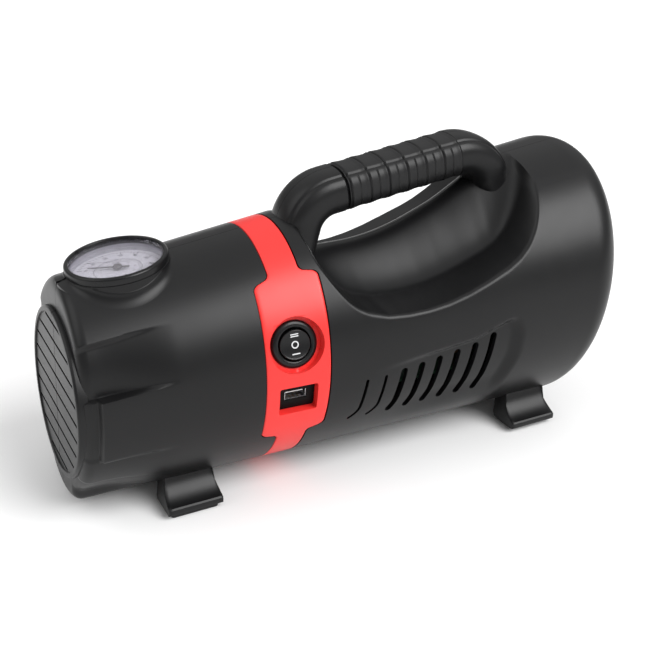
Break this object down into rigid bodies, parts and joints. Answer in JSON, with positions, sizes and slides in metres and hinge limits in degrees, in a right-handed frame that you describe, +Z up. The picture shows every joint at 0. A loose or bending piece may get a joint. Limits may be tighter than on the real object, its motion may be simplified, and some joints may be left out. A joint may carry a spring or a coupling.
{
  "type": "portable tire inflator",
  "caption": "Portable tire inflator with a conical drum housing, carrying handle, red control band with rocker and socket, pressure gauge and geared piston compressor.",
  "frame": {"origin": "on the floor plane, at the middle of the overall length and width", "axes": "+X towards the large end, -Y is the side with the switch and socket, +Z up"},
  "size_m": [0.3594, 0.1478, 0.1942],
  "materials": {
    "shell_black": "satin moulded plastic",
    "band_red": "semi-gloss red plastic",
    "inner_black": "matt plastic",
    "grip_rubber": "matt soft-touch rubber",
    "pad_rubber": "matt rubber",
    "screw_steel": "zinc plated",
    "bezel_black": "satin-gloss plastic",
    "gauge_glass": "clear",
    "gauge_body": "painted grey",
    "dial_white": "matt printed dial",
    "needle_dark": "matt",
    "brass_fitting": "turned",
    "socket_steel": "stamped",
    "tongue_white": "moulded",
    "board_green": "solder mask",
    "cast_alloy": "die cast",
    "motor_steel": "drawn steel",
    "magnet_dark": "sintered",
    "rotor_copper": "wound laminations",
    "gear_white": "moulded",
    "seal_rubber": "moulded",
    "copper_pipe": "drawn",
    "air_hose": "extruded",
    "transformer_iron": "varnished",
    "capacitor_blue": "sleeved"
  },
  "bodies": {
    "housing": {"nose_shell_near": "shell_black", "nose_shell_far": "shell_black", "rear_shell_near": "shell_black", "rear_shell_far": "shell_black", "control_band": "band_red", "band_carrier": "inner_black", "hand_well": "shell_black", "handle_core": "shell_black", "handle_grip": "grip_rubber", "rear_cover": "inner_black", "foot_pads": "pad_rubber", "shell_screws": "screw_steel", "gauge_bezel": "bezel_black", "gauge_lens": "gauge_glass", "gauge_case": "gauge_body", "gauge_dial": "dial_white", "gauge_movement": "brass_fitting", "switch_housing": "bezel_black", "switch_terminals": "brass_fitting", "usb_bezel": "bezel_black", "usb_shell": "socket_steel", "usb_tongue": "tongue_white", "usb_board": "board_green", "bulkhead": "cast_alloy", "motor_can": "motor_steel", "motor_end_bell": "inner_black", "motor_magnets": "magnet_dark", "motor_screws": "screw_steel", "cylinder_barrel": "cast_alloy", "cylinder_head": "cast_alloy", "head_screws": "screw_steel", "gauge_pipe": "copper_pipe", "outlet_pipe": "air_hose", "outlet_nipple": "brass_fitting", "power_board": "board_green", "transformer": "transformer_iron", "capacitors": "capacitor_blue", "heat_sink": "cast_alloy", "cord_gland": "inner_black", "cover_screws": "screw_steel"},
    "needle": {"gauge_needle": "needle_dark"},
    "rocker": {"switch_rocker": "bezel_black"},
    "rotor": {"motor_rotor": "rotor_copper", "pinion": "brass_fitting", "cooling_fan": "inner_black"},
    "crank": {"drive_gear": "gear_white", "crank_shaft": "motor_steel", "crank_retainer": "motor_steel"},
    "piston": {"piston_rod": "cast_alloy", "piston_seal": "seal_rubber"}
  },
  "joints": [
    {"name": "needle_turn", "type": "hinge", "parent": "housing", "child": "needle", "pos_m": [-0.1359, 0, 0.149], "axis": [-0.1097, 0, 0.994], "range_deg": [-270, 0], "stiffness_Nm_per_rad": 0.0002},
    {"name": "rocker_tilt", "type": "hinge", "parent": "housing", "child": "rocker", "pos_m": [-0.05303, -0.05261, 0.10094], "axis": [0.9982, -0.0574, 0.0153], "range_deg": [-11, 11]},
    {"name": "rotor_spin", "type": "hinge", "parent": "housing", "child": "rotor", "pos_m": [-0.1, 0, 0.076], "axis": [1, 0, 0], "continuous": true},
    {"name": "crank_spin", "type": "hinge", "parent": "housing", "child": "crank", "pos_m": [-0.0605, 0, 0.044], "axis": [1, 0, 0], "continuous": true},
    {"name": "piston_slide", "type": "slide", "parent": "housing", "child": "piston", "axis": [0, 0, 1], "range_m": [-0.016, 0]}
  ],
  "couplings": [
    {"joint": "crank_spin", "follows": "rotor_spin", "ratio": -0.23077}
  ]
}
